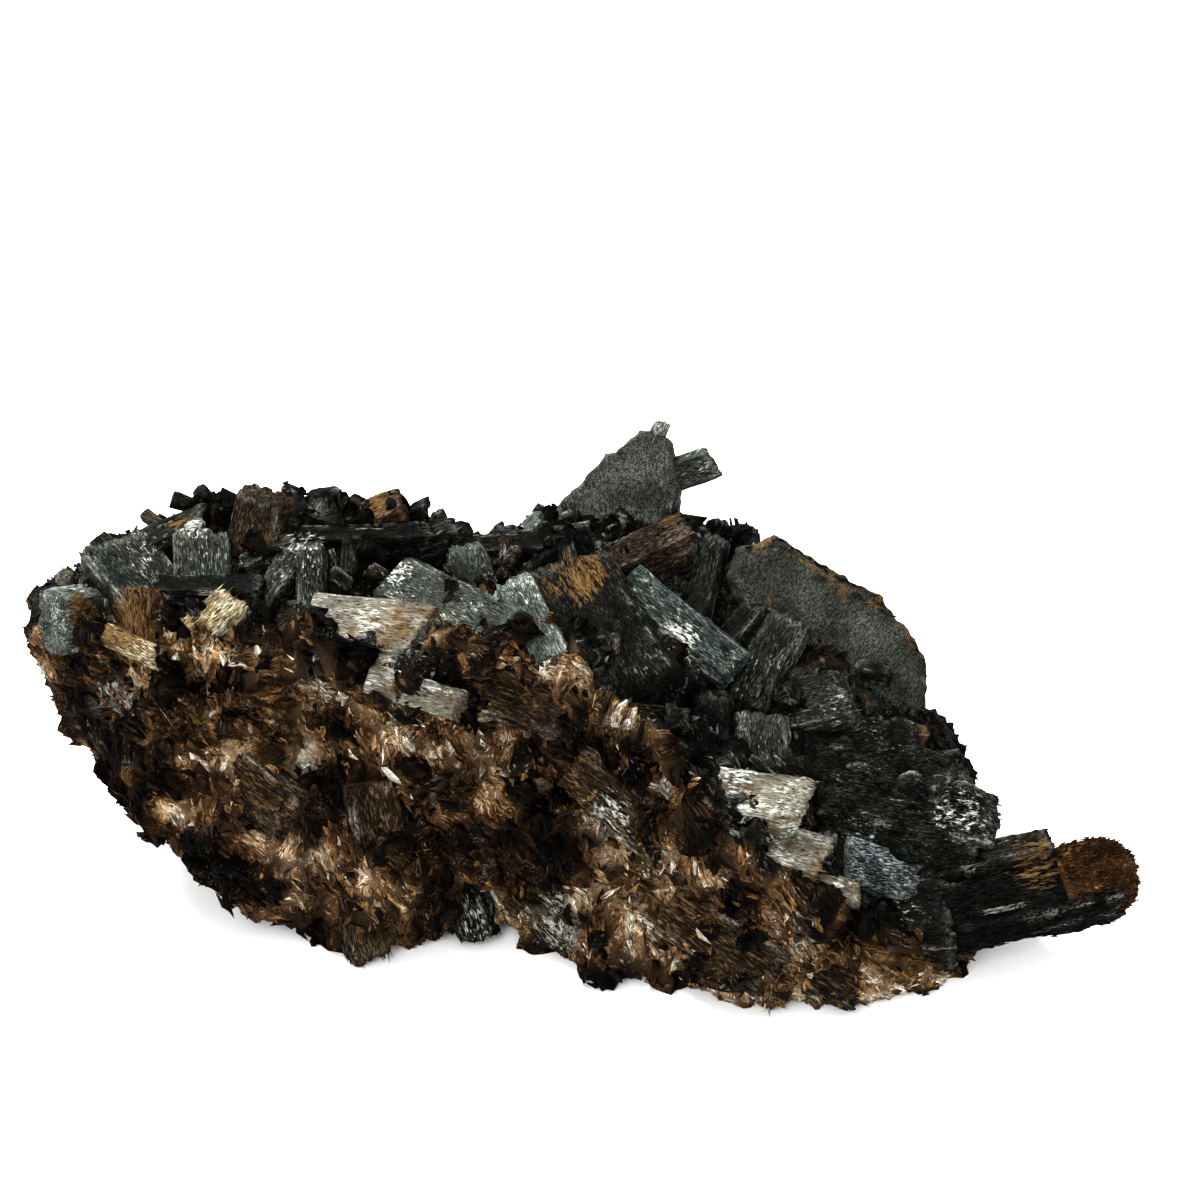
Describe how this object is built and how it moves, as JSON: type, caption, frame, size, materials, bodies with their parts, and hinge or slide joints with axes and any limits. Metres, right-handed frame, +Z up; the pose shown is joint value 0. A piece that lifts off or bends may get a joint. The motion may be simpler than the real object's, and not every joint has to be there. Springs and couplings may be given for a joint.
{
  "type": "amphibole mineral specimen",
  "caption": "Free-standing mineral specimen: a heap of dark striated amphibole prisms and two upright blades on a rusty fibrous matrix, resting on a flat underside.",
  "frame": {"origin": "on the floor under the middle of the specimen's bounding box", "axes": "+X along the length, from the raised left lobe to the rusty tipped prism; -Y is the brown front face; +Z up"},
  "size_m": [0.1688, 0.0864, 0.0632],
  "materials": {
    "rusty_matrix": "rough, fibrous, rusty brown",
    "dark_amphibole": "striated, silky to dull, dark grey green",
    "grey_slab": "fine-grained, dull grey green",
    "grey_blade": "fine-grained, dull grey green with a rusty edge",
    "rust_tipped": "striated, dark, rusty at the tip"
  },
  "bodies": {
    "root": {"matrix": "rusty_matrix", "crystal_cluster": "dark_amphibole", "leaning_slab": "grey_slab", "broad_blade": "grey_blade", "rust_tipped_prism": "rust_tipped"}
  },
  "joints": []
}
